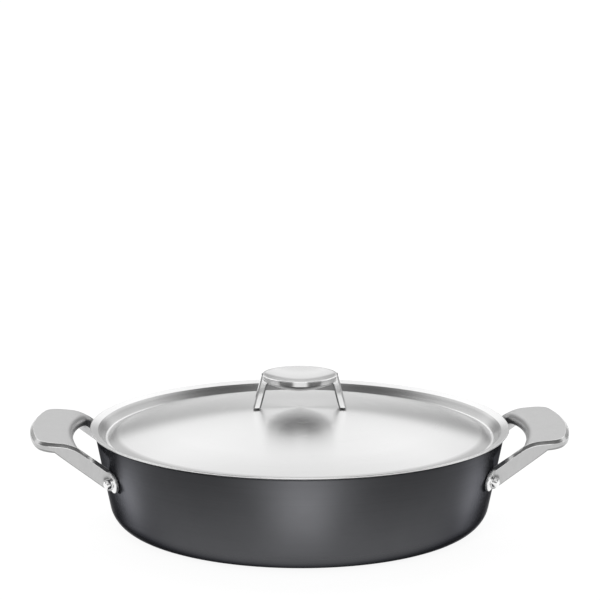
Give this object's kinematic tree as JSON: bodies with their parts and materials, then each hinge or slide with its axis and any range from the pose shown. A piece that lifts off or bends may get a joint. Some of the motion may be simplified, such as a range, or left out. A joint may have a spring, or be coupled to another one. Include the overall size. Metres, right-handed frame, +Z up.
{
  "type": "casserole dish",
  "caption": "Low round stove-top casserole: tapered anodised pan with riveted bent plate handles and a domed steel drop-in lid with a dished disc knob on splayed legs.",
  "frame": {"origin": "centre of the flat underside, where the pan rests on the hob", "axes": "+Z up along the axis of the pan, +X through the right handle, -Y towards the viewer of the picture"},
  "size_m": [0.42, 0.327, 0.1176],
  "materials": {
    "anodised": "hard anodised, satin",
    "satin_steel": "fine brushed",
    "polished_steel": "polished",
    "disc_steel": "turned"
  },
  "bodies": {
    "pan": {"pan_body": "anodised", "base_disc": "disc_steel", "handle_left": "satin_steel", "handle_right": "satin_steel", "rivet_left_front": "polished_steel", "rivet_left_back": "polished_steel", "rivet_right_front": "polished_steel", "rivet_right_back": "polished_steel"},
    "lid": {"lid": "satin_steel", "knob_disc": "polished_steel", "knob_leg_left": "polished_steel", "knob_leg_right": "polished_steel"}
  },
  "joints": [
    {"name": "lid_lift", "type": "slide", "parent": "pan", "child": "lid", "axis": [0, 0, 1], "range_m": [0, 0.12]}
  ]
}
